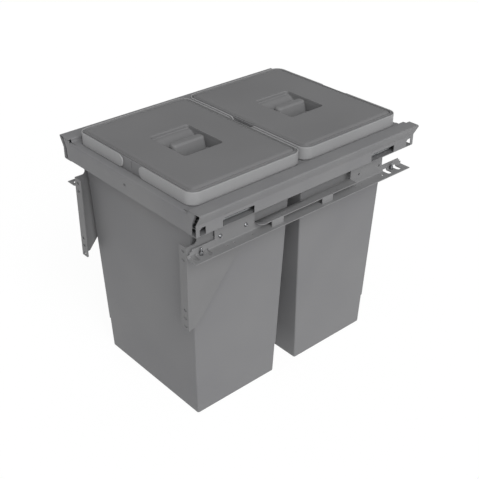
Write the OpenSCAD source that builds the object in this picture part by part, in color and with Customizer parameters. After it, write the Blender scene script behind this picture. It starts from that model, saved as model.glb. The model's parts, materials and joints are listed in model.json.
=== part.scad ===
// Pull-out frame with two lidded bins for a 450 mm base cabinet.
// Two fixed rails carry full-extension runners, the steel frame rides on them,
// and two door brackets hang from the frame. Sizes are in millimetres.
// X runs to the right, Y to the rear and Z up. Places are measured from the middle
// of the frame's top front edge, and moved at the end to the rail fixing holes.

/* [Frame] */
// Overall width of the frame
frame_w = 390; // [386:0.5:400]
// Overall depth of the frame
frame_d = 503; // [500:0.5:508]
// Height of the side members
side_h = 42; // [41:0.5:45]
// How far the side wall leans in below its top edge
side_lean = 10; // [8:0.5:12]
// Height of the leaning part of the side wall
lean_h = 20.5; // [18:0.5:21]
// Width of the flange on top of a side member
top_flange_w = 30; // [28:0.5:32]
// Width of the flange under a side member
bottom_flange_w = 20.5; // [15:0.5:21]
// Depth of the bin ledge below the top flange
ledge_drop = 7; // [6:0.25:8]
// Width of the bin ledge
ledge_w = 15; // [13.5:0.25:15.5]
// Thickness of the frame sheet
frame_t = 1.2; // [1:0.1:1.4]
// Width of the slit between the front face and the side wall
corner_slit = 10; // [8:0.5:12]
// Height of the front face that stands open under the top flange
face_drop = 3; // [2:0.25:4]
// Distance from the frame's rear end to its rear cross-member
rear_in = 9; // [7:0.5:11]
// Width of the top flange that runs past the rear cross-member
rear_ear_w = 22; // [18:0.5:25]
// Depth of the skirt on the centre cross-member
centre_skirt = 24; // [15:1:30]
// Depth of the skirt on the rear cross-member
rear_skirt = 33; // [20:1:34]
// Length of the oval hole in the front face
face_hole_l = 7; // [6:0.5:10]
// Width of the oval hole in the front face
face_hole_w = 3.6; // [3:0.1:4.5]
// Height of the oval hole below the frame's top
face_hole_z = 23.4; // [18:0.2:28]

/* [Side windows] */
// Distance from each end of a side member to its arched notch
arch_in = 6.5; // [5:0.5:9]
// Length of an arched notch
arch_l = 12; // [9:0.5:14]
// Distance from each end of a side member to its long window
window_in = 52; // [45:1:60]
// Length of the front window
front_window_l = 65; // [50:1:75]
// Length of the rear window
rear_window_l = 60; // [50:1:75]
// Depth of the windows' top edge below the frame's top
window_z = 26.5; // [25:0.25:29]
// Strip of wall left below the windows
window_foot = 2; // [1.5:0.1:3]
// Rounding of the long windows' front top corner
window_r = 5; // [2:0.5:8]
// Rounding of all the windows' rear top corner
window_rear_r = 1.5; // [1:0.25:2.5]

/* [Rails] */
// Length of a rail
rail_l = 504; // [500:0.5:508]
// Thickness of the rail sheet
rail_t = 1.5; // [1.2:0.1:1.8]
// Drop from the side member's underside to the rail flange
rail_drop = 46; // [44:0.5:50]
// Overall width of the rail flange
rail_flange_w = 23.5; // [22:0.5:26]
// Height of the low web above the flange
low_web_h = 13; // [11:0.5:14]
// Size of the steps at the web's ends
end_step = 4; // [3:0.5:5]
// Height of the two runner plates above the flange
plate_h = 41; // [36:0.5:42]
// Distance from each rail end to its runner plate
plate_in = 54; // [50:0.5:58]
// Length of a runner plate
plate_l = 84; // [80:0.5:88]
// Width of the folded lip between the plates
lip_w = 17; // [15:0.5:20]
// Rounding of the lip's front corner
lip_r = 10; // [6:0.5:12]
// Length of the tabs that prop up the lip
tab_l = 26; // [20:0.5:30]
// Distance from the front plate to the first tab
front_tab_y = 25; // [20:0.5:30]
// Distance from the front plate to the second tab
rear_tab_y = 142; // [130:1:150]
// Diameter of the rail fixing holes
fix_d = 4.5; // [4:0.1:5.5]
// Distance from the web to the rail's fixing holes
fix_x = 11.5; // [9:0.25:13]
// Distance from the rail's front end to its front fixing hole
fix_front_y = 85; // [80:1:95]
// Spacing of the fixing holes along the rail
fix_pitch = 357; // [350:1:362]
// Diameter of the small tooling holes
tool_d = 2.4; // [2:0.1:3]
// Distance from one small hole to the next
tool_gap = 14; // [10:0.5:16]
// Distance from the rear plate's edge to its first small hole
tool_in = 4; // [3:0.5:8]
// Distance from the rail's front end to its front locating pin
pin_in = 23; // [22:0.5:30]
// Distance from the rail's rear end to its rear locating pin
rear_pin_in = 32; // [28:0.5:36]
// Distance from the web to the locating pins
pin_x = 5; // [4:0.25:7]
// Diameter of the locating pins
pin_d = 3.2; // [2.5:0.1:4]
// Height of the locating pins above the flange
pin_h = 13.5; // [11:0.5:18]
// Diameter of the collar around a locating pin
collar_d = 6; // [5:0.1:7]
// Height of the collar
collar_h = 7; // [5:0.5:9]
// Width of the slots beside the locating pins
slot_w = 9.5; // [7:0.5:11]
// Distance from the pin to each slot
slot_gap = 8; // [5:0.5:10]
// Reach of the slots across the flange
slot_l = 15; // [10:0.5:17]
// Diameter of the rail screws' heads
screw_head_d = 7.5; // [6:0.25:9]
// Height of the rail screws' heads
screw_head_h = 2.4; // [1.8:0.1:2.6]
// Diameter of the rail screws' shanks
screw_d = 4; // [3:0.1:5]
// Height of the screws above the rail flange
screw_z = 15.5; // [12:0.5:20]
// Distance from the front plate's edge to the first screw
screw_in = 11.5; // [8:0.5:16]
// Distance between the two screws or holes of a plate
screw_pitch = 53.5; // [45:0.5:56]
// Distance from the rear plate's edge to its first hole
rear_hole_in = 22.5; // [18:0.5:24]

/* [Runners] */
// Width of a closed runner
runner_w = 24.8; // [24.4:0.1:25.4]
// Thickness of the runner profiles
runner_t = 1.5; // [1.2:0.1:1.6]
// Air above and below the fixed profile
runner_air = 1.05; // [0.8:0.05:1.4]
// Distance from the frame's front to the fixed and drawer profiles
runner_in = 6; // [5:0.5:8]
// Length of the fixed profile
fixed_l = 480; // [474:1:484]
// Length of the intermediate profile
middle_l = 476; // [470:1:477]
// Length of the drawer profile
drawer_l = 484; // [478:1:488]
// Width of the fixed profile
fixed_w = 14; // [13:0.25:15]
// Width of the intermediate profile
middle_w = 14.5; // [13.5:0.25:15]
// Width of the drawer profile
drawer_w = 14.8; // [14:0.2:15.6]
// Space between the webs of the fixed and intermediate profiles
web_gap = 3; // [2.6:0.1:3.4]
// Full travel of the frame
travel = 460; // [440:1:470]
// Diameter of the bearing balls
ball_d = 4; // [3.6:0.1:4.2]
// Balls in each row of a cage
ball_count = 6; // [4:1:8]
// Thickness of the ball cages
cage_t = 0.8; // [0.6:0.1:1]
// Length of the feet's margin inside the runner plates
foot_in = 2; // [1:0.5:4]
// Height of the feet's lower edge above the rail flange
foot_z = 8; // [5:0.5:10]
// Thickness of the rubber stop behind the intermediate profile
stop_t = 2; // [1.5:0.1:2.4]

/* [Door brackets] */
// Thickness of the door brackets
bracket_t = 1.5; // [1.2:0.1:2]
// Width of the door bracket's front flange
bracket_flange_w = 18.4; // [17:0.2:20]
// Rounding of the front flange's inner corners
bracket_r = 4; // [2:0.5:6]
// Height of the door bracket's front flange
bracket_h = 160; // [157:1:180]
// Drop from the side member to the top of the door bracket
bracket_drop = 28; // [26:0.5:32]
// Depth of the gusset along its top
gusset_d = 131; // [110:1:140]
// Depth of the gusset at its lower end
gusset_toe = 15.4; // [10:0.5:20]
// Rise of the gusset's lower edge
gusset_rise = 3; // [2:0.5:5]
// Rounding where the hanger leaves the bracket
hanger_r = 6; // [4:0.5:8]
// Distance from the door to the hanger
hanger_y = 21; // [18:0.5:25]
// Length of the hanger that reaches up to the ledge
hanger_l = 33; // [28:0.5:36]
// Diameter of the hanger's rivets
rivet_d = 3.2; // [3:0.1:3.6]
// Diameter of the rivet heads
rivet_head_d = 6.2; // [5.5:0.1:6.6]
// Height of the rivet heads
rivet_head_h = 1.4; // [1:0.1:2]
// Distance from the ledge's edge to the rivets
rivet_in = 3.2; // [3:0.1:3.5]
// Distance between the rivets
rivet_pitch = 17; // [14:0.5:20]
// Width of the door holes
door_hole_d = 4.5; // [4:0.1:5]
// Length of the door holes
door_hole_l = 7.5; // [6:0.5:9]
// Distance from the bracket's outer face to the door holes
door_hole_x = 8.4; // [8:0.1:9.6]
// Distance from the bracket's top to its first door hole
door_hole_top = 9.5; // [8:0.5:12]
// Pitch of the door holes
door_hole_pitch = 16; // [14:0.5:17]
// Distance from the first door hole to the lower group
door_hole_group = 112; // [100:1:114]

/* [Bins] */
// Distance from the frame's front to the front handle
handle_in = 14; // [12:0.5:16]
// Distance between the handles of the two bins
bin_gap = 4; // [3:0.5:6]
// Space between the frame's top flange and the handles
handle_gap = 7.5; // [6:0.25:9]
// Height of the bins below the ledge
bin_h = 436; // [350:1:460]
// Wall thickness of the bins
bin_t = 2.2; // [1.8:0.1:3]
// Thickness of the bins' floor
bin_floor = 2.6; // [2:0.1:4]
// How far the bin walls lean in from the ledge to the floor
bin_draft = 14.6; // [8:0.2:18]
// Play between the bin walls and the ledges
bin_play = 1.5; // [1:0.1:2]
// Rounding of the bins' upright edges
bin_r = 5; // [3:0.5:8]
// Height of the stepped-in foot of the bins
foot_h = 66; // [40:1:90]
// Depth of the step at the foot
foot_step = 1; // [0.6:0.1:1.6]
// Overhang of the rim in front of the bin wall
rim_front = 3.5; // [3.2:0.1:4.5]
// Overhang of the rim behind the bin wall
rim_rear = 18; // [15:0.5:20]
// Height of the rim above the ledge
rim_h = 22.5; // [20:0.25:24]
// Thickness of the rim's upright wall
rim_t = 1.5; // [1.3:0.1:1.8]
// Depth of the lid's seat below the rim's top
seat_drop = 4.5; // [4:0.25:5.5]
// Thickness of the lid's seat
seat_t = 2.2; // [1.8:0.1:2.6]
// Depth of the mark in the middle of the rim
mark_d = 0.5; // [0.3:0.1:0.7]

/* [Handles] */
// Thickness of the handles
handle_t = 2.2; // [2:0.1:2.4]
// Height of the handles
handle_h = 22.3; // [20:0.1:22.4]
// Rounding of the handles' corners
handle_r = 20; // [18:0.5:24]
// Distance from the middle to the handles' round ends
handle_mid = 22; // [20:0.5:30]
// Diameter of the handle bosses
boss_d = 7; // [6:0.25:9]
// Reach of the bosses into the handles
boss_l = 1.5; // [1.2:0.1:1.7]

/* [Lids] */
// Height of the lid above the rim
lid_proud = 2.5; // [2:0.1:3]
// Width of the lip round the lid
lip_ring_w = 2; // [1.6:0.1:3]
// Depth of the lip below the lid's top
lip_ring_drop = 1; // [0.5:0.1:1.5]
// Distance from the lid's edge to its raised top
plateau_in = 10.5; // [8:0.5:13]
// Width of the slope round the raised top
slope_w = 5.2; // [3:0.1:6]
// Depth of the groove round the raised top
groove_d = 3.5; // [3:0.1:4]
// Thickness of the lid
lid_t = 2.2; // [1.8:0.1:2.6]
// Rounding of the raised top's corners
plateau_r = 3; // [2.5:0.5:6]
// Length of the grip pocket along X
pocket_w = 96; // [90:1:100]
// Length of the grip pocket along Y
pocket_l = 82; // [78:1:88]
// Distance of the grip pocket's middle in front of the lid's middle
pocket_fore = 3.25; // [0:0.25:5]
// Rounding of the grip pocket's corners
pocket_r = 5; // [3:0.5:8]
// Depth of the grip pocket
pocket_d = 24; // [20:0.5:28]
// Depth of the brow that its sloping sides start from
brow_d = 7; // [6:0.25:7]
// Width of the brow
brow_w = 5.5; // [4:0.5:7]
// Fall of the brow towards the slope
brow_fall = 0.5; // [0.25:0.25:1.5]
// Distance from the middle to the foot of each sloping side
slope_foot = 15; // [14.5:0.5:18]
// Wall thickness of the grip pocket
pocket_t = 2; // [1.6:0.1:2.5]
// Width of the grip bar in the pocket
grip_w = 18; // [16:0.5:20]
// Length of the grip bar
grip_l = 68; // [64:1:70]
// Distance of the grip bar's middle in front of the lid's middle
grip_fore = 1.5; // [0.5:0.25:3.25]
// Draft of the grip bar's foot on each side
grip_foot = 2.5; // [1.5:0.25:2.75]
// Rounding of the grip bar's ends
grip_r = 8; // [6:0.5:8]
// Rounding of the grip bar's top edges
grip_top_r = 5; // [3.5:0.25:5]

/* [Hidden] */

// Fits
part_gap = 0.3;
ball_play = 0.05;
cage_play = 0.15;
pin_play = 0.05;
side_gap = 0.8;
bracket_gap = 0.6;
over = 1;

// Bends and facets
bend_steps = 4;
corner_steps = 5;
round_fn = 40;

// Frame across X, right-hand half
edge_x = frame_w / 2;
wall_x = edge_x - side_lean;
wall_in_x = wall_x - frame_t;
lip_end_x = edge_x - corner_slit - side_lean * face_drop / lean_h - over;
flange_x = edge_x - top_flange_w;
ledge_x = flange_x - ledge_w;
ledge_z = -ledge_drop;
ledge_under_z = ledge_z - frame_t;
side_z = -side_h;
frame_bend = 2.2;
apex_x = edge_x + frame_bend * (tan(45 + atan(side_lean / lean_h) / 2) - 1);
face_bend = 4;
flange_lip_r = 1.5;
return_d = runner_in - flange_lip_r;
face_z = side_z + over;

// Runner across X, right-hand half
fixed_x = wall_in_x - runner_w;
rail_x = fixed_x + runner_t;
middle_x = rail_x + web_gap;
ball_space = ball_d + 2 * ball_play;
fixed_top = ledge_under_z - runner_air;
fixed_bottom = side_z + frame_t + runner_air;
middle_top = fixed_top - runner_t - ball_space;
middle_bottom = fixed_bottom + runner_t + ball_space;
drawer_top = middle_top - runner_t - ball_space;
drawer_bottom = middle_bottom + runner_t + ball_space;
outer_ball_x = (middle_x + runner_t + fixed_x + fixed_w) / 2;
inner_ball_x = (wall_in_x - drawer_w + middle_x + middle_w) / 2;
outer_ball_z = fixed_top - runner_t - ball_space / 2;
inner_ball_z = middle_top - runner_t - ball_space / 2;
middle_z = (fixed_top + fixed_bottom) / 2;
middle_y = runner_in + fixed_l - stop_t - part_gap - middle_l;
cage_end = 4;
outer_lap_l = min(fixed_l, middle_l) - travel / 2;
inner_lap_l = min(middle_l, drawer_l) - travel / 2;
outer_cage_l = outer_lap_l - 2 * cage_end;
inner_cage_l = inner_lap_l - 2 * cage_end;
outer_cage_y = (runner_in + middle_y - travel / 2 + middle_l) / 2 + travel / 4 - outer_cage_l / 2;
inner_lap_y = (middle_y - travel / 2 + runner_in - travel + drawer_l) / 2;
inner_cage_y = inner_lap_y + 3 * travel / 4 - inner_cage_l / 2;

// Rails
rail_z = side_z - rail_drop;
rail_under_z = rail_z - rail_t;
rail_bend = 3;
low_top = rail_z + low_web_h;
plate_top = rail_z + plate_h;
front_plate_y = plate_in;
rear_plate_y = rail_l - plate_in - plate_l;
screw_x = rail_x + rail_t;
fix_hole_x = rail_x + fix_x;
lip_y = front_plate_y + plate_l;
tool_ys = [fix_front_y - tool_gap, lip_y - tool_gap, lip_y + rear_tab_y,
    rear_plate_y + tool_in, rear_plate_y + tool_in + tool_gap];
lip_tool_ys = [for (y = [front_tab_y, rear_tab_y]) each
    [lip_y + y + tab_l, lip_y + y + tab_l + tool_gap]];

// Door brackets
bracket_x = fixed_x - bracket_gap;
bracket_z = side_z - bracket_drop;
bracket_foot_z = bracket_z - bracket_h;
door_x = bracket_x - door_hole_x;
door_zs = [0, door_hole_pitch, door_hole_group, door_hole_group + door_hole_pitch,
    door_hole_group + 2 * door_hole_pitch];

// Bins
handle_x = flange_x - handle_gap;
handle_d = (frame_d - 2 * handle_in - bin_gap) / 2;
bin_pitch = handle_d + bin_gap;
rim_x = handle_x - handle_t - side_gap;
rim_y = handle_in + handle_t + part_gap;
rim_d = handle_d - 2 * handle_t - 2 * part_gap;
rim_mid_y = handle_in + handle_d / 2;
rim_top = ledge_z + rim_h;
rim_r = handle_r - handle_t + 0.2;
seat_z = rim_top - seat_drop;
body_x = ledge_x - bin_play;
body_y = handle_in + rim_front;
body_d = handle_d - rim_front - rim_rear;
body_mid_y = body_y + body_d / 2;
bin_z = ledge_z - bin_h;
draft = bin_draft / bin_h;
handle_z = ledge_z + part_gap + 0.2;
pivot_x = handle_mid + handle_h / 2;
pivot_z = handle_z + handle_h / 2;

// Lids
lid_x = rim_x - rim_t - part_gap;
lid_d = rim_d - 2 * rim_t - 2 * part_gap;
lid_r = rim_r - rim_t - part_gap;
lid_top = rim_top + lid_proud;
lid_floor = lid_top - groove_d;

// Greys of the painted steel, the plastics and the bare metal
paint = "#7c7c7c";
rail_paint = "#717171";
bin_grey = "#767676";
lid_grey = "#707070";
handle_grey = "#939393";
zinc = "#b4b4b4";
steel = "#d0d0d0";
rubber = "#303030";

// Points round a rectangle with rounded corners
function round_rect(half_w, half_d, r, mid = [0, 0]) = [
    for (q = [[1, 1, 0], [-1, 1, 90], [-1, -1, 180], [1, -1, 270]])
        for (k = [0 : corner_steps])
            let (a = q[2] + 90 * k / corner_steps)
                mid + [q[0] * (half_w - r) + r * cos(a), q[1] * (half_d - r) + r * sin(a)]];

// Bent strip: a path with rounded corners and its offset by the sheet thickness
function unit(v) = v / norm(v);
function left_of(v) = [-v.y, v.x];
function turn(u, v) = atan2(u.x * v.y - u.y * v.x, u.x * v.x + u.y * v.y);
function bend(a, b, c, r, off) =
    let (u = unit(b - a), v = unit(c - b), th = turn(u, v), s = th < 0 ? -1 : 1)
    let (m = b - u * r * tan(abs(th) / 2) + left_of(u) * s * r)
    [for (k = [0 : bend_steps]) let (q = th * k / bend_steps)
        m - s * (r - s * off) * (left_of(u) * cos(q) - u * sin(q))];
function bent(p, r, off) = let (n = len(p) - 1) concat(
    [p[0] + left_of(unit(p[1] - p[0])) * off],
    [for (i = [1 : n - 1]) each bend(p[i - 1], p[i], p[i + 1], r, off)],
    [p[n] + left_of(unit(p[n] - p[n - 1])) * off]);
function flip(p) = [for (i = [len(p) - 1 : -1 : 0]) p[i]];
function strip(p, r, t) = concat(bent(p, r, 0), flip(bent(p, r, t)));

// Outline of a window whose two top corners are round
function window_points(y0, y1, z0, z1, r, rear_r) = concat(
    [[y0, z0], [y1, z0]],
    [for (k = [0 : corner_steps]) let (a = 90 * k / corner_steps)
        [y1 - rear_r + rear_r * cos(a), z1 - rear_r + rear_r * sin(a)]],
    [for (k = [0 : corner_steps]) let (a = 90 + 90 * k / corner_steps)
        [y0 + r + r * cos(a), z1 - r + r * sin(a)]]);

module along_y(y0, y1) {
    translate([0, y1, 0]) rotate([90, 0, 0]) linear_extrude(y1 - y0) children();
}

module along_x(x0, x1) {
    translate([x0, 0, 0]) rotate([90, 0, 90]) linear_extrude(x1 - x0) children();
}

module box(lo, hi) {
    translate(lo) cube(hi - lo);
}

// Solid between two rounded rectangles at two heights, the upper's corners smaller by r_in
module taper(lo_w, lo_d, hi_w, hi_d, r, z0, z1, mid = [0, 0], r_in = 0) {
    lo = round_rect(lo_w, lo_d, r, mid);
    hi = round_rect(hi_w, hi_d, r - r_in, mid);
    n = len(lo);
    polyhedron(
        points = concat([for (p = lo) [p.x, p.y, z0]], [for (p = hi) [p.x, p.y, z1]]),
        faces = concat([[for (i = [0 : n - 1]) i]], [[for (i = [n - 1 : -1 : 0]) n + i]],
            [for (i = [0 : n - 1]) [i, n + i, n + (i + 1) % n, (i + 1) % n]]));
}

// Right-hand pieces are drawn and mirrored for the left
module on_side(side) {
    mirror([side < 0 ? 1 : 0, 0, 0]) children();
}

// Moves the drawing to the middle of the rail fixing holes, on the rails' underside
module placed() {
    translate([0, -(fix_front_y + fix_pitch / 2), -rail_under_z]) children();
}

// Round bar along Y or X, and a bar along Y with round sides
module y_bar(x, z, d, y0, y1) {
    translate([x, y1, z]) rotate([90, 0, 0]) cylinder(d = d, h = y1 - y0, $fn = round_fn);
}

module y_slot_flat(x, z, w, l, y0, y1) {
    for (s = [-1, 1]) y_bar(x + s * (l - w) / 2, z, w, y0, y1);
    box([x - (l - w) / 2, y0, z - w / 2], [x + (l - w) / 2, y1, z + w / 2]);
}

module x_bar(y, z, d, x0, x1) {
    translate([x0, y, z]) rotate([0, 90, 0]) cylinder(d = d, h = x1 - x0, $fn = round_fn);
}

// Cabinet rail: an angle with two tall runner plates and a folded lip between them
module rail() {
    difference() {
        along_y(0, rail_l) polygon(strip(
            [[rail_x, plate_top], [rail_x, rail_under_z], [rail_x + rail_flange_w, rail_under_z]],
            rail_bend, rail_t));
        rail_web_cut(-over, front_plate_y, low_top);
        rail_web_cut(front_plate_y + plate_l, rear_plate_y, low_top);
        rail_web_cut(rear_plate_y + plate_l, rail_l + over, low_top);
        for (step = [0, 1]) {
            rail_web_cut(-over, end_step * (2 - step), low_top - end_step * (step + 1));
            rail_web_cut(rail_l - end_step * (2 - step), rail_l + over,
                low_top - end_step * (step + 1));
        }
        for (y = [0, screw_pitch]) {
            rail_plate_hole(front_plate_y + screw_in + y);
            rail_plate_hole(rear_plate_y + rear_hole_in + y);
        }
        for (y = [0, fix_pitch])
            rail_flange_hole(fix_hole_x, fix_front_y + y, fix_d);
        for (y = tool_ys)
            rail_flange_hole(fix_hole_x, y, tool_d);
        for (y = [pin_in, rail_l - rear_pin_in]) {
            rail_flange_hole(screw_x + pin_x, y, pin_d + 2 * pin_play);
            rail_slot(y + slot_gap);
            rail_slot(y - slot_gap - slot_w);
        }
    }
    rail_lip();
}

module rail_web_cut(y0, y1, z) {
    box([rail_x - over, y0, z], [screw_x + over, y1, plate_top + over]);
}

module rail_plate_hole(y) {
    x_bar(y, rail_z + screw_z, screw_d + 2 * pin_play, rail_x - over, screw_x + over);
}

module rail_flange_hole(x, y, d) {
    translate([x, y, rail_under_z - over]) cylinder(d = d, h = rail_t + 2 * over, $fn = round_fn);
}

module rail_slot(y) {
    box([rail_x - over, y, rail_under_z - over],
        [screw_x + slot_l - slot_w / 2, y + slot_w, rail_z + rail_bend]);
    translate([screw_x + slot_l - slot_w / 2, y + slot_w / 2, rail_under_z - over])
        cylinder(d = slot_w, h = rail_t + rail_bend + over, $fn = round_fn);
}

module rail_lip() {
    lip_x = rail_x + lip_w;
    difference() {
        translate([0, 0, low_top - rail_t]) linear_extrude(rail_t) polygon(concat(
            [[rail_x, lip_y], [rail_x, rear_plate_y], [lip_x, rear_plate_y]],
            flip([for (k = [0 : corner_steps]) let (a = 270 + 90 * k / corner_steps)
                [lip_x - lip_r + lip_r * cos(a), lip_y + lip_r + lip_r * sin(a)]])));
        for (y = lip_tool_ys)
            translate([fix_hole_x - over, y, low_top - rail_t - over])
                cylinder(d = tool_d, h = rail_t + 2 * over, $fn = round_fn);
    }
    for (y = [front_tab_y, rear_tab_y])
        box([lip_x - rail_t, lip_y + y, rail_z], [lip_x, lip_y + y + tab_l, low_top - rail_t]);
}

// Locating pins with collars, riveted through the rail flange
module rail_pins() {
    for (y = [pin_in, rail_l - rear_pin_in]) translate([screw_x + pin_x, y, 0]) {
        translate([0, 0, rail_under_z])
            cylinder(d = pin_d, h = rail_t + pin_h - pin_d / 2, $fn = round_fn);
        translate([0, 0, rail_z + pin_h - pin_d / 2]) sphere(d = pin_d, $fn = round_fn);
        translate([0, 0, rail_z]) cylinder(d = collar_d, h = collar_h, $fn = round_fn);
    }
}

// Round-headed screws that hold the runner's front foot to the rail plate
module rail_screws() {
    for (y = [0, screw_pitch]) translate([0, front_plate_y + screw_in + y, rail_z + screw_z]) {
        x_bar(0, 0, screw_d, fixed_x, screw_x);
        translate([screw_x, 0, 0]) rotate([0, 90, 0]) {
            cylinder(d = screw_head_d, h = screw_head_h / 2, $fn = round_fn);
            translate([0, 0, screw_head_h / 2])
                cylinder(d1 = screw_head_d, d2 = screw_head_d / 2, h = screw_head_h / 2,
                    $fn = round_fn);
        }
    }
}

// Fixed runner profile: a channel open to the outside on two feet
module fixed_profile() {
    tip_x = fixed_x + fixed_w;
    along_y(runner_in, runner_in + fixed_l) polygon(strip(
        [[tip_x, fixed_top], [fixed_x, fixed_top], [fixed_x, fixed_bottom],
            [tip_x, fixed_bottom]], runner_t + 1, runner_t));
    runner_foot(front_plate_y, screw_in);
    runner_foot(rear_plate_y, rear_hole_in);
}

module runner_foot(y, hole_in) {
    difference() {
        box([fixed_x, y + foot_in, rail_z + foot_z],
            [rail_x, y + plate_l - foot_in, fixed_bottom + 2 * runner_t + 1]);
        for (p = [0, screw_pitch])
            x_bar(y + hole_in + p, rail_z + screw_z, screw_d + 2 * pin_play,
                fixed_x - over, rail_x + over);
    }
}

// Rubber stop behind the intermediate profile
module runner_stop() {
    box([rail_x, runner_in + fixed_l - stop_t, middle_bottom],
        [middle_x + runner_t + web_gap, runner_in + fixed_l, middle_top]);
}

// Intermediate runner profile, open to the outside
module middle_profile() {
    tip_x = middle_x + middle_w;
    along_y(middle_y, middle_y + middle_l) polygon(strip(
        [[tip_x, middle_top], [middle_x, middle_top], [middle_x, middle_bottom],
            [tip_x, middle_bottom]], runner_t + 1, runner_t));
}

// Drawer runner profile, open to the inside and fixed to the side wall
module drawer_profile() {
    tip_x = wall_in_x - drawer_w;
    along_y(runner_in, runner_in + drawer_l) polygon(strip(
        [[tip_x, drawer_top], [wall_in_x, drawer_top], [wall_in_x, drawer_bottom],
            [tip_x, drawer_bottom]], runner_t + 0.7, -runner_t));
}

// Thin channel that keeps the balls apart, with a hole for each ball
module ball_cage(web_x, tip_x, ball_x, ball_z, y, l) {
    leg = ball_z + cage_t / 2;
    foot = 2 * middle_z - leg;
    difference() {
        along_y(y, y + l) polygon(strip(
            [[tip_x, leg], [web_x, leg], [web_x, foot], [tip_x, foot]], cage_t + 0.4, cage_t));
        for (p = ball_places(y, l)) translate([ball_x, p, foot - over])
            cylinder(d = ball_d + 2 * cage_play, h = leg - foot + 2 * over, $fn = round_fn);
    }
}

function ball_places(y, l) = [for (i = [0 : ball_count - 1]) y + l * (i + 0.5) / ball_count];

module balls(ball_x, ball_z, y, l) {
    for (p = ball_places(y, l))
        for (z = [ball_z, 2 * middle_z - ball_z])
            translate([ball_x, p, z]) sphere(d = ball_d, $fn = round_fn);
}

module outer_cage() {
    ball_cage((rail_x + middle_x - cage_t) / 2, fixed_x + fixed_w - over,
        outer_ball_x, outer_ball_z, outer_cage_y, outer_cage_l);
}

module inner_cage() {
    ball_cage(middle_x + runner_t + over, middle_x + middle_w - over,
        inner_ball_x, inner_ball_z, inner_cage_y, inner_cage_l);
}

// Side member: a C-section with a top flange, a bin ledge and windows in its wall
module side_member() {
    difference() {
        union() {
            along_y(0, frame_d) polygon(strip(
                [[ledge_x, ledge_z], [flange_x, ledge_z], [flange_x, 0], [apex_x, 0],
                    [wall_x, -lean_h], [wall_x, side_z],
                    [wall_x - bottom_flange_w, side_z]],
                frame_bend, -frame_t));
            box([flange_x + frame_bend, 0, part_gap - face_drop],
                [lip_end_x, frame_t, -frame_t / 2]);
        }
        box([ledge_x - over, -over, ledge_under_z - over],
            [flange_x + frame_t + frame_bend, face_bend + frame_t, -frame_t]);
        box([ledge_x - over, frame_d - rear_in, ledge_under_z - over],
            [edge_x - rear_ear_w, frame_d + over, over]);
        for (y = [arch_in, frame_d - arch_in - arch_l])
            side_window(y, arch_l, arch_l / 2);
        flange_lip_round();
        side_window(window_in, front_window_l, window_r);
        side_window(frame_d - window_in - rear_window_l, rear_window_l, window_r);
        hanger_holes(ledge_under_z);
    }
}

// Waste outside the round front edge of the top flange, where it turns down as a lip
module flange_lip_round() {
    along_x(flange_x - over, lip_end_x + over) polygon(concat([[-over, over]],
        [for (k = [0 : corner_steps]) let (a = 90 + 90 * k / corner_steps)
            flange_lip_r * [1 + cos(a), sin(a) - 1]],
        [[-over, -flange_lip_r]]));
}

module side_window(y, l, r) {
    along_x(wall_in_x - over, edge_x + over) polygon(
        window_points(y, y + l, side_z + window_foot, -window_z, r, window_rear_r));
}

module hanger_holes(z) {
    for (y = rivet_ys()) translate([ledge_x + rivet_in, y, z - over])
        cylinder(d = rivet_d + 2 * pin_play, h = frame_t + 2 * over, $fn = round_fn);
}

function rivet_ys() = [for (s = [-1, 1]) hanger_y + hanger_l / 2 + s * rivet_pitch / 2];

// Front cross-member: the face with its rounded top edge and the front bin ledge
module front_cross_member() {
    knee_x = wall_x - corner_slit;
    foot_x = knee_x - 2 * over;
    join_z = ledge_z - face_bend;
    function lean_x(z) = knee_x + (lean_h + z) * (lip_end_x - knee_x) / (lean_h - face_drop);
    difference() {
        union() {
            intersection() {
                along_x(-edge_x, edge_x) polygon(strip(
                    [[0, face_z], [0, ledge_z], [body_y - bin_play, ledge_z]],
                    face_bend, -frame_t));
                union() {
                    along_y(-over, face_bend) polygon([
                        [-foot_x, face_z], [foot_x, face_z], [knee_x, -lean_h],
                        [lean_x(join_z), join_z], [flange_x, join_z], [flange_x, 0],
                        [-flange_x, 0], [-flange_x, join_z], [-lean_x(join_z), join_z],
                        [-knee_x, -lean_h]]);
                    box([-ledge_x, 0, face_z], [ledge_x, frame_d, 0]);
                }
            }
            for (side = [-1, 1]) on_side(side) {
                along_y(0, frame_t) polygon([[flange_x, -lean_h], [knee_x, -lean_h],
                    [lip_end_x, -face_drop], [flange_x, -face_drop]]);
                along_y(0, return_d) polygon([[knee_x - frame_t, -lean_h],
                    [knee_x, -lean_h], [lip_end_x, -face_drop],
                    [lip_end_x - frame_t, -face_drop]]);
            }
        }
        y_slot_flat(0, -face_hole_z, face_hole_w, face_hole_l, -over, frame_t + over);
    }
}

// Centre cross-member: a channel under the rims that meet between the bins
module centre_cross_member() {
    y0 = body_y + body_d + bin_play - 0.5;
    y1 = body_y + bin_pitch - bin_play + 0.5;
    along_x(-ledge_x, ledge_x) polygon(strip(
        [[y0, ledge_z - centre_skirt], [y0, ledge_z], [y1, ledge_z],
            [y1, ledge_z - centre_skirt]], frame_bend, -frame_t));
}

// Rear cross-member: the rear bin ledge with its skirt
module rear_cross_member() {
    along_x(-ledge_x, ledge_x) polygon(strip(
        [[body_y + bin_pitch + body_d + bin_play, ledge_z], [frame_d - rear_in, ledge_z],
            [frame_d - rear_in, ledge_z - rear_skirt]], frame_bend, -frame_t));
}

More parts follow.
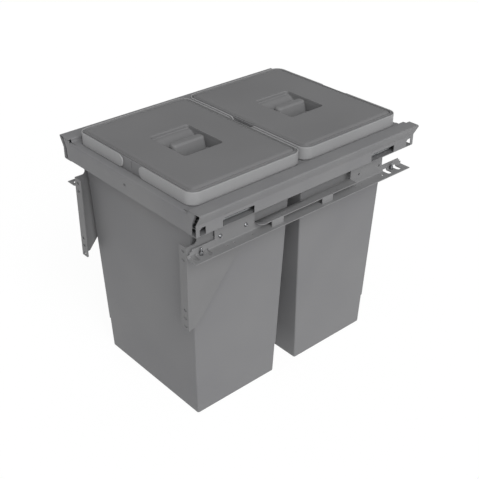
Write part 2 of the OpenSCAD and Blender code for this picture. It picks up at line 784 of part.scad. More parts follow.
// Door bracket: a drilled front flange, a gusset and a hanger up to the ledge
module door_bracket() {
    in_x = bracket_x - bracket_t;
    difference() {
        union() {
            along_x(in_x, bracket_x) polygon(concat(
                [[0, bracket_foot_z], [gusset_toe, bracket_foot_z + gusset_rise],
                    [gusset_d, rail_z],
                    [hanger_y + hanger_l, bracket_z], [hanger_y + hanger_l, ledge_under_z],
                    [hanger_y, ledge_under_z], [hanger_y, bracket_z + hanger_r]],
                [for (k = [0 : corner_steps]) let (a = 90 * k / corner_steps)
                    [hanger_y - hanger_r + hanger_r * cos(a),
                        bracket_z + hanger_r - hanger_r * sin(a)]],
                [[0, bracket_z]]));
            along_y(0, bracket_t) polygon(concat(
                [[bracket_x, bracket_foot_z], [bracket_x, bracket_z]],
                bracket_corner(bracket_z - bracket_r, 90),
                bracket_corner(bracket_foot_z + bracket_r, 180)));
            box([ledge_x, hanger_y, ledge_under_z - bracket_t],
                [bracket_x, hanger_y + hanger_l, ledge_under_z]);
        }
        for (z = door_zs)
            y_slot_flat(door_x, bracket_z - door_hole_top - z, door_hole_d, door_hole_l,
                -over, bracket_t + over);
        hanger_holes(ledge_under_z - bracket_t);
    }
}

// Rounded inner corner of the door bracket's front flange
function bracket_corner(z, start) = [
    for (k = [0 : corner_steps]) let (a = start + 90 * k / corner_steps)
        [bracket_x - bracket_flange_w + bracket_r + bracket_r * cos(a), z + bracket_r * sin(a)]];

// Flush rivets that join the hanger to the ledge
module bracket_rivets() {
    z = ledge_under_z - bracket_t;
    for (y = rivet_ys()) translate([ledge_x + rivet_in, y, 0]) {
        translate([0, 0, z]) cylinder(d = rivet_d, h = ledge_z - z, $fn = round_fn);
        translate([0, 0, z - rivet_head_h])
            cylinder(d1 = rivet_head_d / 2, d2 = rivet_head_d, h = rivet_head_h, $fn = round_fn);
    }
}

// Half-width and half-depth of the bin's outside at a height
function bin_w(z) = body_x + (z - ledge_z) * draft;
function bin_l(z) = body_d / 2 + (z - ledge_z) * draft;

// Bin: a drafted body with a stepped foot, a hanging rim, a lid seat and handle bosses
module bin() {
    mid = [0, body_mid_y];
    step_z = bin_z + foot_h;
    rim_mid = [0, rim_mid_y];
    difference() {
        union() {
            taper(bin_w(bin_z) - foot_step, bin_l(bin_z) - foot_step,
                bin_w(step_z) - foot_step, bin_l(step_z) - foot_step, bin_r,
                bin_z, step_z, mid);
            taper(bin_w(step_z), bin_l(step_z), bin_w(ledge_z), bin_l(ledge_z), bin_r,
                step_z, ledge_z, mid);
            intersection() {
                taper(bin_w(ledge_z), bin_l(ledge_z), bin_w(seat_z), bin_l(seat_z), bin_r,
                    ledge_z, seat_z, mid);
                translate([0, 0, ledge_z]) linear_extrude(rim_h)
                    polygon(round_rect(rim_x, rim_d / 2, rim_r, rim_mid));
            }
            translate([0, 0, seat_z - seat_t]) linear_extrude(seat_t)
                polygon(round_rect(rim_x, rim_d / 2, rim_r, rim_mid));
            difference() {
                translate([0, 0, ledge_z]) linear_extrude(rim_h)
                    polygon(round_rect(rim_x, rim_d / 2, rim_r, rim_mid));
                translate([0, 0, ledge_z - over]) linear_extrude(rim_h + 2 * over)
                    polygon(round_rect(rim_x - rim_t, rim_d / 2 - rim_t, rim_r - rim_t, rim_mid));
            }
            for (s = [-1, 1]) {
                y_bar(s * pivot_x, pivot_z, boss_d, rim_y - part_gap - boss_l, rim_y + rim_t);
                y_bar(s * pivot_x, pivot_z, boss_d, rim_y + rim_d - rim_t,
                    rim_y + rim_d + part_gap + boss_l);
            }
        }
        taper(bin_w(bin_z) - bin_t - foot_step, bin_l(bin_z) - bin_t - foot_step,
            bin_w(seat_z) - bin_t, bin_l(seat_z) - bin_t, bin_r - bin_t / 2,
            bin_z + bin_floor, seat_z + over, mid);
        for (y = [rim_y, rim_y + rim_d]) {
            box([-mark_d, y - mark_d, ledge_z - over], [mark_d, y + mark_d, rim_top + over]);
            along_y(y - 2 * rim_t, y + 2 * rim_t)
                polygon([[-2 * rim_t, rim_top + 0.1], [0, rim_top - rim_t], [2 * rim_t, rim_top + 0.1]]);
        }
    }
}

// Swing handle: one half of the band round the rim, with round ends on the bosses
module handle() {
    rim_mid = [0, rim_mid_y];
    difference() {
        intersection() {
            translate([0, 0, handle_z]) linear_extrude(handle_h) difference() {
                polygon(round_rect(handle_x, handle_d / 2, handle_r, rim_mid));
                polygon(round_rect(handle_x - handle_t, handle_d / 2 - handle_t,
                    handle_r - handle_t, rim_mid));
            }
            union() {
                y_bar(pivot_x, pivot_z, handle_h, 0, frame_d);
                box([pivot_x, 0, handle_z - over], [edge_x, frame_d, handle_z + handle_h + over]);
            }
        }
        y_bar(pivot_x, pivot_z, boss_d + 2 * pin_play, rim_y - part_gap - boss_l - 0.1, rim_y);
        y_bar(pivot_x, pivot_z, boss_d + 2 * pin_play, rim_y + rim_d,
            rim_y + rim_d + part_gap + boss_l + 0.1);
    }
}

// Lid: a lipped edge, a groove, a raised top and a grip pocket with a bar across it
module lid() {
    mid = [0, rim_mid_y];
    top_w = lid_x - plateau_in;
    top_d = lid_d / 2 - plateau_in;
    difference() {
        union() {
            translate([0, 0, seat_z]) linear_extrude(lid_floor - seat_z)
                polygon(round_rect(lid_x, lid_d / 2, lid_r, mid));
            difference() {
                translate([0, 0, lid_floor]) linear_extrude(groove_d - lip_ring_drop)
                    polygon(round_rect(lid_x, lid_d / 2, lid_r, mid));
                translate([0, 0, lid_floor - over]) linear_extrude(groove_d + over)
                    polygon(round_rect(lid_x - lip_ring_w, lid_d / 2 - lip_ring_w,
                        lid_r - lip_ring_w, mid));
            }
            taper(top_w + slope_w, top_d + slope_w, top_w, top_d, plateau_r,
                lid_floor, lid_top, mid);
        }
        translate([0, 0, seat_z - over]) linear_extrude(lid_top - lid_t - seat_z + over)
            difference() {
                polygon(round_rect(top_w - lid_t, top_d - lid_t, plateau_r, mid));
                polygon(pocket_outline(pocket_t));
            }
        lid_pocket();
        grip_hollow();
    }
    difference() {
        pocket_shape(pocket_t, seat_z);
        lid_pocket();
        grip_hollow();
    }
}

// Grip pocket: an outline in plan, and a cross-section with a brow and sloping sides.
// Both grow by t, which is 0 for the hollow and the wall's thickness for its outside.
function pocket_outline(t) = round_rect(pocket_w / 2 + t, pocket_l / 2 + t, pocket_r + t,
    [0, rim_mid_y - pocket_fore]);
function pocket_section(t, top) =
    let (brow_x = pocket_w / 2 - brow_w, brow_z = lid_top - brow_d - brow_fall,
        floor_z = lid_top - pocket_d, a = atan((brow_z - floor_z) / (brow_x - slope_foot)),
        side = [[pocket_w / 2 + t + over, top], [pocket_w / 2 + t + over, brow_z + brow_fall - t],
            [brow_x + t * sin(a), brow_z - t * cos(a)],
            [slope_foot + t * tan(a / 2), floor_z - t]])
    concat(side, flip([for (p = side) [-p.x, p.y]]));

module pocket_shape(t, top) {
    y = rim_mid_y - pocket_fore;
    intersection() {
        along_y(y - pocket_l / 2 - t - over, y + pocket_l / 2 + t + over)
            polygon(pocket_section(t, top));
        translate([0, 0, lid_top - pocket_d - t - over])
            linear_extrude(pocket_d + t + 3 * over) polygon(pocket_outline(t));
    }
}

module lid_pocket() {
    difference() {
        pocket_shape(0, lid_top + over);
        grip_bar(0, lid_top - pocket_d - 2 * over);
    }
}

// Grip bar, or its hollow t smaller: drafted, with two chords of an arc round its top
module grip_bar(t, z0) {
    mid = [0, rim_mid_y - grip_fore];
    w = grip_w / 2 - t;
    l = grip_l / 2 - t;
    r = grip_r - t;
    e = grip_top_r - t;
    k = e * (1 - cos(45));
    top = lid_top - (t > 0 ? lid_t : 0);
    taper(w + grip_foot, l + grip_foot, w, l, r, z0, top - e, mid);
    taper(w, l, w - k, l - k, r, top - e, top - k, mid, k);
    taper(w - k, l - k, w - e, l - e, r - k, top - k, top, mid, e - k);
}

module grip_hollow() {
    grip_bar(pocket_t, lid_top - pocket_d - pocket_t - over);
}

color(rail_paint) placed() on_side(-1) rail();  // left_rail
color(rail_paint) placed() on_side(1) rail();  // right_rail
color(steel) placed() on_side(-1) rail_pins();  // left_rail_pins
color(steel) placed() on_side(1) rail_pins();  // right_rail_pins
color(steel) placed() on_side(-1) rail_screws();  // left_rail_screws
color(steel) placed() on_side(1) rail_screws();  // right_rail_screws
color(zinc) placed() on_side(-1) fixed_profile();  // left_fixed_profile
color(zinc) placed() on_side(1) fixed_profile();  // right_fixed_profile
color(rubber) placed() on_side(-1) runner_stop();  // left_runner_stop
color(rubber) placed() on_side(1) runner_stop();  // right_runner_stop
color(zinc) placed() on_side(-1) outer_cage();  // left_outer_cage
color(zinc) placed() on_side(1) outer_cage();  // right_outer_cage
color(steel) placed() on_side(-1) balls(outer_ball_x, outer_ball_z, outer_cage_y, outer_cage_l);  // left_outer_balls
color(steel) placed() on_side(1) balls(outer_ball_x, outer_ball_z, outer_cage_y, outer_cage_l);  // right_outer_balls
color(zinc) placed() on_side(-1) middle_profile();  // left_middle_profile
color(zinc) placed() on_side(1) middle_profile();  // right_middle_profile
color(zinc) placed() on_side(-1) inner_cage();  // left_inner_cage
color(zinc) placed() on_side(1) inner_cage();  // right_inner_cage
color(steel) placed() on_side(-1) balls(inner_ball_x, inner_ball_z, inner_cage_y, inner_cage_l);  // left_inner_balls
color(steel) placed() on_side(1) balls(inner_ball_x, inner_ball_z, inner_cage_y, inner_cage_l);  // right_inner_balls
color(zinc) placed() on_side(-1) drawer_profile();  // left_drawer_profile
color(zinc) placed() on_side(1) drawer_profile();  // right_drawer_profile
color(paint) placed() on_side(-1) side_member();  // left_side_member
color(paint) placed() on_side(1) side_member();  // right_side_member
color(paint) placed() front_cross_member();
color(paint) placed() centre_cross_member();
color(paint) placed() rear_cross_member();
color(rail_paint) placed() on_side(-1) door_bracket();  // left_door_bracket
color(rail_paint) placed() on_side(1) door_bracket();  // right_door_bracket
color(steel) placed() on_side(-1) bracket_rivets();  // left_bracket_rivets
color(steel) placed() on_side(1) bracket_rivets();  // right_bracket_rivets
color(bin_grey) placed() bin();  // front_bin
color(bin_grey) placed() translate([0, bin_pitch, 0]) bin();  // rear_bin
color(lid_grey) placed() lid();  // front_lid
color(lid_grey) placed() translate([0, bin_pitch, 0]) lid();  // rear_lid
color(handle_grey) placed() on_side(-1) handle();  // front_bin_left_handle
color(handle_grey) placed() on_side(1) handle();  // front_bin_right_handle
color(handle_grey) placed() translate([0, bin_pitch, 0]) on_side(-1) handle();  // rear_bin_left_handle
color(handle_grey) placed() translate([0, bin_pitch, 0]) on_side(1) handle();  // rear_bin_right_handle
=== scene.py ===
# %% [markdown]
# # A pull-out bin frame
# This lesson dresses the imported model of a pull-out frame for kitchen bins.
# The frame is bent from painted sheet steel, and it runs on two cabinet rails.
# Two moulded bins hang in it, each with a lid and two swing handles.
# The plastic parts are rebuilt here as smooth surfaces worked out with numpy.
# The sheet parts keep their modelled shape and only get the soft edges that
# folding and painting give real steel.

import json
from math import cos, pi, radians, sin

import bmesh
import bpy
import numpy as np
from mathutils import Matrix

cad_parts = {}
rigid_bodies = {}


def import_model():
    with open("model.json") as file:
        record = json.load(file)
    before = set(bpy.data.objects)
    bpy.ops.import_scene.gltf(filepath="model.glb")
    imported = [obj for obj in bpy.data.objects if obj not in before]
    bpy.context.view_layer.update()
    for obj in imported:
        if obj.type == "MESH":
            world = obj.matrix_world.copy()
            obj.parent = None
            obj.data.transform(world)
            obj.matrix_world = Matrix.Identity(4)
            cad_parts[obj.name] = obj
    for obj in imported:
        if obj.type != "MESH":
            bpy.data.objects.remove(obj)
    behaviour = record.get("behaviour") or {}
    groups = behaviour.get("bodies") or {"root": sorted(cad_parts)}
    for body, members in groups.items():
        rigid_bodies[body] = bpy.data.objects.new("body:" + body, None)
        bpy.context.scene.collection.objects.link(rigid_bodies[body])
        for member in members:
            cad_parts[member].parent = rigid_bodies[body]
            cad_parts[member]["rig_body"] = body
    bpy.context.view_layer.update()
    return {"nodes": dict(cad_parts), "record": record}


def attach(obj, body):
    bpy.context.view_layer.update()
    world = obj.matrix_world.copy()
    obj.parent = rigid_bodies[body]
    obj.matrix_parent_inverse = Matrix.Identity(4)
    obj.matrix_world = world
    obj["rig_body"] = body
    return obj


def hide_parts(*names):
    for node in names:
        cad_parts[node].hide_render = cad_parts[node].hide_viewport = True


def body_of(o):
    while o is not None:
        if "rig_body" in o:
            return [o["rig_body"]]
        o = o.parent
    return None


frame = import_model()
nodes = frame["nodes"]

# %% [markdown]
# ## One way of measuring
# A maker measures this product in millimetres from the front end of its rails
# and from the top of its frame. Blender works in metres from the middle of the
# rails' fixing holes. One function turns the first into the second, so each
# size below can be read like a size on a workshop drawing.

# %% Millimetres to metres
DRAWING_ORIGIN = np.array([0.0, 263.5, -89.5])
RAIL_END = 504.0


def metres(points):
    """Drawing points in millimetres, less the part's origin, divided by 1000."""
    return (np.asarray(points, float) - DRAWING_ORIGIN) / 1000


def colour(text):
    """Linear red, green, blue and alpha of an sRGB hex colour.
    Each channel c becomes ((c + 0.055) / 1.055) to the power 2.4."""
    srgb = np.array([int(text[i:i + 2], 16) for i in (1, 3, 5)]) / 255
    linear = np.where(srgb <= 0.04045, srgb / 12.92, ((srgb + 0.055) / 1.055) ** 2.4)
    return (*linear.tolist(), 1.0)


print("front end of the rails at y =", metres([0, 0, 0])[1], "m")

# %% [markdown]
# ## The camera
# The product stands at a three-quarter angle and is seen from its front right
# and from above. The camera's place and direction come from the product's own
# straight edges. A matrix built from the three camera axes says this more
# directly than angles, because each axis is a column that can be checked.

# %% Camera
AZIMUTH, ELEVATION = radians(48.74), radians(31.16)
LENS, FILM = 65.7, 36                     # mm
CAMERA_PLACE = [1067.0, -688.3, 632.8]    # on the drawing, in mm
FAR = 50                                  # m, beyond the edge of the floor


def axes_of_view(azimuth, elevation):
    """Right, up and back axes of a camera that looks along azimuth from above.
    Back points from the object to the camera, right is level, and up = back x right."""
    back = np.array([sin(azimuth) * cos(elevation), -cos(azimuth) * cos(elevation), sin(elevation)])
    right = np.array([cos(azimuth), sin(azimuth), 0.0])
    return right, np.cross(back, right), back


camera_data = bpy.data.cameras.new("camera")
camera_data.lens = LENS
camera_data.sensor_width = FILM
camera_data.clip_end = FAR
camera = bpy.data.objects.new("camera", camera_data)
bpy.context.scene.collection.objects.link(camera)
turn = np.identity(4)
turn[:3, :3] = np.stack(axes_of_view(AZIMUTH, ELEVATION), axis=1)
turn[:3, 3] = metres(CAMERA_PLACE)
camera.matrix_world = Matrix(turn.tolist())
bpy.context.scene.camera = camera
print("camera at", np.round(turn[:3, 3], 3))

# %% [markdown]
# ## A helper for materials
# Every finish below is a small node tree. One function adds a node, sets its
# options and values, and links its inputs, so a finish reads from top to bottom.

# %% Node helper
def add(tree, kind, settings=None, **inputs):
    """A node of one kind. Settings are its options. An input named like a socket, or
    _3 for socket 3, gets a value, or a link if it is given as (node, output)."""
    node = tree.nodes.new("ShaderNode" + kind)
    for name, value in (settings or {}).items():
        setattr(node, name, value)
    for name, value in inputs.items():
        socket = node.inputs[int(name[1:]) if name[0] == "_" else name.replace("_", " ")]
        if isinstance(value, tuple) and hasattr(value[0], "outputs"):
            tree.links.new(value[0].outputs[value[1]], socket)
        else:
            socket.default_value = value
    return node


def new_finish(name):
    """An empty node material and its tree."""
    material = bpy.data.materials.new(name)
    material.use_nodes = True
    material.node_tree.nodes.clear()
    return material, material.node_tree


# Noise seldom leaves this band, so a finish spreads its two tones over it.
NOISE_LOW, NOISE_HIGH = 0.3, 0.7
COLOUR_OUT = 2    # a Mix node has one result for each kind of value, and this is its colour
print("tones spread over noise from", NOISE_LOW, "to", NOISE_HIGH)

# %% [markdown]
# ## Powder coat
# The frame, its rails and its brackets are folded from steel sheet and powder
# coated. Powder is sprayed on dry and melts in an oven, so it flows into a thin
# even skin with a faint orange peel, and it draws back a little at cut edges.
# A flat colour would look like paper. Two sizes of noise are used instead. A
# slow one shifts the tone by a shade, and a fine one gives the orange peel.

# %% Powder coat finish
PEEL = 1.4      # mm from one bump of the orange peel to the next
DRIFT = 90.0    # mm over which the coat's tone drifts


def powder_coat(name, low, high, rough=(0.46, 0.58)):
    """Coated steel: tone from slow noise, bump from noise as fine as the peel."""
    material, tree = new_finish(name)
    place = add(tree, "TexCoord")
    slow = add(tree, "TexNoise", Vector=(place, "Object"), Scale=1000 / DRIFT, Detail=2.0)
    peel = add(tree, "TexNoise", Vector=(place, "Object"), Scale=1000 / PEEL, Detail=3.0)
    share = add(tree, "MapRange", _0=(slow, "Fac"), _1=NOISE_LOW, _2=NOISE_HIGH)
    tone = add(tree, "Mix", {"data_type": "RGBA"}, _0=(share, "Result"),
               _6=colour(low), _7=colour(high))
    rough_map = add(tree, "MapRange", _0=(peel, "Fac"), _3=rough[0], _4=rough[1])
    bump = add(tree, "Bump", Height=(peel, "Fac"), Strength=0.1, Distance=0.0001)
    surface = add(tree, "BsdfPrincipled", Base_Color=(tone, COLOUR_OUT),
                  Roughness=(rough_map, "Result"), IOR=1.5, Normal=(bump, "Normal"))
    add(tree, "OutputMaterial", Surface=(surface, "BSDF"))
    return material


grey_coat = powder_coat("grey_powder_coat", "#78787a", "#7e7e7f")
bracket_coat = powder_coat("bracket_powder_coat", "#747475", "#7a7a7b")
# The rails' coat is a shade lighter than the frame's as painted light: it makes up for the shade
# that the frame casts on the rails below it.
rail_coat_painted_light = powder_coat("rail_powder_coat_painted_light", "#808081", "#868687")
print("coats:", grey_coat.name, bracket_coat.name, rail_coat_painted_light.name)

# %% [markdown]
# ## Moulded polypropylene
# The bins, lids and handles are injection moulded. The steel mould is spark
# eroded, and it leaves a fine matt grain on the plastic. Polypropylene shines
# little, and where it is thick its tone drifts very slightly. The grain is made
# of two noises, one for its height and one for how it scatters the light.

# %% Polypropylene finish
GRAIN = 0.9    # mm; the real grain is nearer 0.2 mm, drawn coarser so that it shows
FLOW = 140.0   # mm over which the plastic's tone drifts


def polypropylene(name, low, high, rough=(0.5, 0.62), relief=0.12):
    """Moulded plastic: a slow drift of tone and a fine eroded grain."""
    material, tree = new_finish(name)
    place = add(tree, "TexCoord")
    slow = add(tree, "TexNoise", Vector=(place, "Object"), Scale=1000 / FLOW, Detail=1.0)
    grain = add(tree, "TexNoise", Vector=(place, "Object"), Scale=1000 / GRAIN, Detail=4.0,
                Roughness=0.6)
    share = add(tree, "MapRange", _0=(slow, "Fac"), _1=NOISE_LOW, _2=NOISE_HIGH)
    tone = add(tree, "Mix", {"data_type": "RGBA"}, _0=(share, "Result"),
               _6=colour(low), _7=colour(high))
    rough_map = add(tree, "MapRange", _0=(grain, "Fac"), _3=rough[0], _4=rough[1])
    bump = add(tree, "Bump", Height=(grain, "Fac"), Strength=relief, Distance=0.0001)
    surface = add(tree, "BsdfPrincipled", Base_Color=(tone, COLOUR_OUT),
                  Roughness=(rough_map, "Result"), IOR=1.49, Normal=(bump, "Normal"))
    add(tree, "OutputMaterial", Surface=(surface, "BSDF"))
    return material


bin_plastic = polypropylene("grey_polypropylene", "#78787a", "#7d7d7e")
lid_plastic = polypropylene("dark_grey_polypropylene", "#717172", "#767677", (0.62, 0.74))
handle_plastic = polypropylene("light_grey_polypropylene", "#979798", "#9c9c9d", (0.38, 0.46), 0.06)

# %% [markdown]
# ## Zinc, bright steel and rubber
# The runner profiles are rolled from strip that is zinc plated. Rolling leaves
# fine lines along the profile, so its noise is stretched along Y. The screws,
# pins and balls are bright turned steel. The end stops are black rubber.
# A metal's colour is its reflection, so it keeps the default IOR.

# %% Metal and rubber finishes
ROLLED = 12.0    # mm, the length of the lines that rolling leaves
BLOOM = 6.0      # mm from one dusty patch on the rubber to the next


def plated_steel(name, low, high, rough, stretch):
    """Metal: lines along Y from noise that is squeezed across them by stretch."""
    material, tree = new_finish(name)
    place = add(tree, "TexCoord")
    squeeze = add(tree, "Mapping", Vector=(place, "Object"), Scale=(stretch, 1.0, stretch))
    lines = add(tree, "TexNoise", Vector=(squeeze, "Vector"), Scale=1000 / ROLLED, Detail=3.0)
    share = add(tree, "MapRange", _0=(lines, "Fac"), _1=NOISE_LOW, _2=NOISE_HIGH)
    tone = add(tree, "Mix", {"data_type": "RGBA"}, _0=(share, "Result"),
               _6=colour(low), _7=colour(high))
    rough_map = add(tree, "MapRange", _0=(lines, "Fac"), _3=rough[0], _4=rough[1])
    bump = add(tree, "Bump", Height=(lines, "Fac"), Strength=0.08, Distance=0.0001)
    surface = add(tree, "BsdfPrincipled", Base_Color=(tone, COLOUR_OUT), Metallic=1.0,
                  Roughness=(rough_map, "Result"), Normal=(bump, "Normal"))
    add(tree, "OutputMaterial", Surface=(surface, "BSDF"))
    return material


def moulded_rubber(name, low, high):
    """Rubber: black with a dusty bloom that follows slow noise."""
    material, tree = new_finish(name)
    place = add(tree, "TexCoord")
    bloom = add(tree, "TexNoise", Vector=(place, "Object"), Scale=1000 / BLOOM, Detail=3.0)
    share = add(tree, "MapRange", _0=(bloom, "Fac"), _1=NOISE_LOW, _2=NOISE_HIGH)
    tone = add(tree, "Mix", {"data_type": "RGBA"}, _0=(share, "Result"),
               _6=colour(low), _7=colour(high))
    bump = add(tree, "Bump", Height=(bloom, "Fac"), Strength=0.15, Distance=0.0002)
    surface = add(tree, "BsdfPrincipled", Base_Color=(tone, COLOUR_OUT), Roughness=0.8, IOR=1.52,
                  Normal=(bump, "Normal"))
    add(tree, "OutputMaterial", Surface=(surface, "BSDF"))
    return material


zinc = plated_steel("zinc_plated_steel", "#a9abad", "#bfc1c3", (0.3, 0.42), 14.0)
bright_steel = plated_steel("bright_turned_steel", "#8c8d8f", "#9c9d9f", (0.16, 0.26), 1.0)
rubber = moulded_rubber("black_rubber", "#262626", "#333333")

FINISHES = {"frame_paint": grey_coat, "rail_paint": rail_coat_painted_light, "bin_plastic": bin_plastic,
            "lid_plastic": lid_plastic, "handle_plastic": handle_plastic,
            "runner_zinc": zinc, "bright_steel": bright_steel, "stop_rubber": rubber}
slot_of = {part["node"]: part["material_slot"] for part in frame["record"]["subparts"]}
print(len(FINISHES), "finishes for", len(slot_of), "nodes")

# %% [markdown]
# ## From grids of points to a mesh
# Each new piece is one or more grids of points. A row is a closed loop round the
# piece, and the rows follow one another over its surface. A mesh made this way
# has clean bands of quads that smooth well, which a boolean mesh hasn't. The
# signed volume tells whether the faces point outwards, and turns them if not.

# %% Mesh helper
def quads(rows, columns, first):
    """Corner numbers of the quads between neighbouring rows of closed loops."""
    row, column = np.meshgrid(np.arange(rows - 1), np.arange(columns), indexing="ij")
    nearby = (column + 1) % columns
    corners = [row * columns + column, row * columns + nearby,
               (row + 1) * columns + nearby, (row + 1) * columns + column]
    return first + np.stack(corners, axis=-1).reshape(-1, 4)


def outward(grid):
    """True if a grid's quads point outwards: the sum of a . (b x c) / 6 over its
    triangles is the volume it holds, and it is positive then."""
    points = grid.reshape(-1, 3) - grid.reshape(-1, 3).mean(axis=0)
    a, b, c, d = (points[corner] for corner in quads(*grid.shape[:2], 0).T)
    volume = (a * np.cross(b, c)).sum() + (a * np.cross(c, d)).sum()
    return volume > 0


def make_piece(name, grids, node, finish, smooth=32):
    """One object from closed grids in drawing millimetres. Each grid's first and
    last loops are capped, and edges sharper than smooth degrees stay crisp."""
    points, faces, first = [], [], 0
    for grid in grids:
        rows, columns = grid.shape[:2]
        patch = quads(rows, columns, first).tolist()
        patch.append(list(range(first + columns - 1, first - 1, -1)))
        patch.append(list(range(first + (rows - 1) * columns, first + rows * columns)))
        faces += patch if outward(grid) else [face[::-1] for face in patch]
        points.append(metres(grid).reshape(-1, 3))
        first += rows * columns
    mesh = bpy.data.meshes.new(name)
    mesh.from_pydata(np.concatenate(points).tolist(), [], faces)
    shaped = bmesh.new()
    shaped.from_mesh(mesh)
    bmesh.ops.remove_doubles(shaped, verts=shaped.verts, dist=2e-6)
    bmesh.ops.dissolve_degenerate(shaped, dist=1e-6, edges=shaped.edges)
    shaped.to_mesh(mesh)
    shaped.free()
    return settle(bpy.data.objects.new(name, mesh), node, finish, smooth)


# %% Settling a piece
def settle(piece, node, finish, smooth):
    """Puts a piece in the scene in place of a node, on the node's body."""
    mesh = piece.data
    bpy.context.scene.collection.objects.link(piece)
    mesh.materials.clear()
    mesh.materials.append(finish)
    mesh.polygons.foreach_set("use_smooth", [True] * len(mesh.polygons))
    mesh.set_sharp_from_angle(angle=radians(smooth))
    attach(piece, body_of(nodes[node])[0])
    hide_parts(node)
    return piece


print(len(slot_of), "nodes to settle a piece on, or to dress")

# %% [markdown]
# ## Loops with rounded corners
# Bins, lids and pockets are all rounded rectangles at some height. A loop is
# four quarter circles, and the straight sides between them come for free. Near
# the middle of the front and back sides the bin's loops need a few more points,
# to carry a thin line and a notch in its rim.

# %% Rounded loops
CORNER_STEPS = 10
NEAR_MIDDLE = np.array([-9.0, -3.2, -3.0, -1.5, -0.7, -0.5, -0.3, 0.0,
                        0.3, 0.5, 0.7, 1.5, 3.0, 3.2, 9.0])


def loop_columns(middle):
    """For each point of a loop: the signs of its corner, the cosine and sine in
    that corner, and its fixed x if it lies near the middle of a long side."""
    angle = np.linspace(0, pi / 2, CORNER_STEPS + 1)
    parts = []
    for sign_x, sign_y, start, side_x in [(1, 1, 0, -middle), (-1, 1, 1, None),
                                          (-1, -1, 2, middle), (1, -1, 3, None)]:
        turn = angle + start * pi / 2
        parts.append(np.stack([np.full_like(turn, sign_x), np.full_like(turn, sign_y),
                               np.cos(turn), np.sin(turn), np.zeros_like(turn)]))
        if side_x is not None and len(side_x):
            zero = np.zeros_like(side_x)
            parts.append(np.stack([zero, zero + sign_y, zero, zero + sign_y, side_x]))
    return np.concatenate(parts, axis=1)


def loops(half_w, half_d, radius, middle_y, height, middle=np.array([])):
    """Rounded rectangles: x = side (half width - r) + r cos, y likewise with sin.
    Every argument is one number a row, and the result is rows x columns x 3."""
    side_x, side_y, c, s, fixed_x = loop_columns(middle)
    half_w, half_d, radius, middle_y, height = (
        np.asarray(v, float)[:, None] for v in (half_w, half_d, radius, middle_y, height))
    radius = np.minimum(radius, np.minimum(half_w, half_d))
    x = side_x * (half_w - radius) + radius * c + fixed_x
    y = middle_y + side_y * (half_d - radius) + radius * s
    return np.stack([x, y, height + 0 * x], axis=-1)


def fillet(centre, radius, start, stop, steps=5):
    """Points (offset, height) of an arc about a centre, from start to stop degrees."""
    angle = np.radians(np.linspace(start, stop, steps))
    return [(centre[0] + radius * np.cos(a), centre[1] + radius * np.sin(a)) for a in angle]


print(loop_columns(NEAR_MIDDLE).shape[1], "points round a bin")

# %% [markdown]
# ## The bins
# A bin is drafted, which means its walls lean in towards the floor so that it
# leaves the mould. Its foot steps in by a millimetre under a thin line. A rim
# hangs round its top like an upturned gutter, rests on the frame's ledges, and
# carries the lid's seat. The profile runs from the outside of the floor up the
# wall, over the rim and down to the inside of the floor, and each point of it
# becomes one loop.

# %% Bin profile
LEDGE, BIN_FLOOR, FOOT_TOP = -7.0, -443.0, -377.0
RIM_TOP, SEAT, SEAT_UNDER = 15.5, 11.0, 8.8
DRAFT = 14.6 / 436
BIN_WALL, RIM_WALL = 2.2, 1.5
BASE_R, FOOT_IN, LINE_IN = 2.0, -1.0, -1.6    # the foot's round edge, its step and the thin line
FLOOR_T, INNER_R = 2.6, 7.0    # the floor's thickness and the round edge inside it
BIN_STEP = 239.5    # from the front bin to the rear one
BODY = (148.5, 107.0, 3.0, 124.5)       # half width, half depth, corner, middle y at the ledge
RIM = (154.5, 115.25, 18.0, 131.75)


def bin_profile():
    """Rows of (share of the rim's outline, offset from it, height, corner radius)."""
    body, foot, wall = BODY[2], FOOT_IN, -BIN_WALL
    rows = [(0, foot + x, z, body)
            for x, z in fillet((-BASE_R, BIN_FLOOR + BASE_R), BASE_R, -90, 0, 6)]
    line = [(foot, -0.6), (foot - 0.15, -0.45), (LINE_IN, -0.35),
            (LINE_IN, 0.35), (-0.1, 0.45), (0, 0.6)]
    rows += [(0, x, FOOT_TOP + z, body) for x, z in line]
    rows += [(0, 0, z, body) for z in (-300, -200, -100, -30)]
    rows += [(0, 0, LEDGE - 6, body), (0, -0.4, LEDGE - 3, 11), (0, -1.2, LEDGE, 15)]
    rows += [(0, x, SEAT_UNDER + z, 15.5) for x, z in [(-1.2, -1.4), (-0.8, -0.4), (0, 0)]]
    rows += [(1, -RIM_WALL - 0.5, SEAT_UNDER, 16), (1, -RIM_WALL, SEAT_UNDER - 0.5, 16.5)]
    rows += [(1, -RIM_WALL, LEDGE + 0.5, 16.5)]
    edges = fillet((-RIM_WALL / 2, LEDGE + 0.5), 0.5, 180, 360, 5)[:-1] + [(0, LEDGE + 0.6)]
    edges += [(0, RIM_TOP - 2.0), (0, RIM_TOP - 0.9)]
    edges += fillet((-0.7, RIM_TOP - 0.7), 0.7, 0, 90, 5)
    edges += fillet((-RIM_WALL + 0.3, RIM_TOP - 0.3), 0.3, 90, 180, 3)
    rows += [(1, x, z, RIM[2] + x) for x, z in edges]
    rows += [(1, -RIM_WALL, SEAT + 0.5, 16.5), (1, -RIM_WALL - 0.15, SEAT + 0.15, 16.3)]
    rows += [(1, -RIM_WALL - 0.5, SEAT, 16)]
    rows += [(0, wall + 1.2, SEAT, 15), (0, wall + 0.35, SEAT - 0.35, 15)]
    rows += [(0, wall, SEAT - 1.2, 14)]
    rows += [(0, wall, 4, 14), (0, wall, LEDGE - 12, 4)]
    rows += [(0, wall, z, 4) for z in (-100, -200, -300, -400)]
    inside = BIN_FLOOR + FLOOR_T + INNER_R
    rows += [(0, wall + foot - INNER_R + x, z, 4)
             for x, z in fillet((0, inside), INNER_R, 0, -90, 7)]
    return np.array(rows)


print(len(bin_profile()), "loops from the foot over the rim to the inner floor")

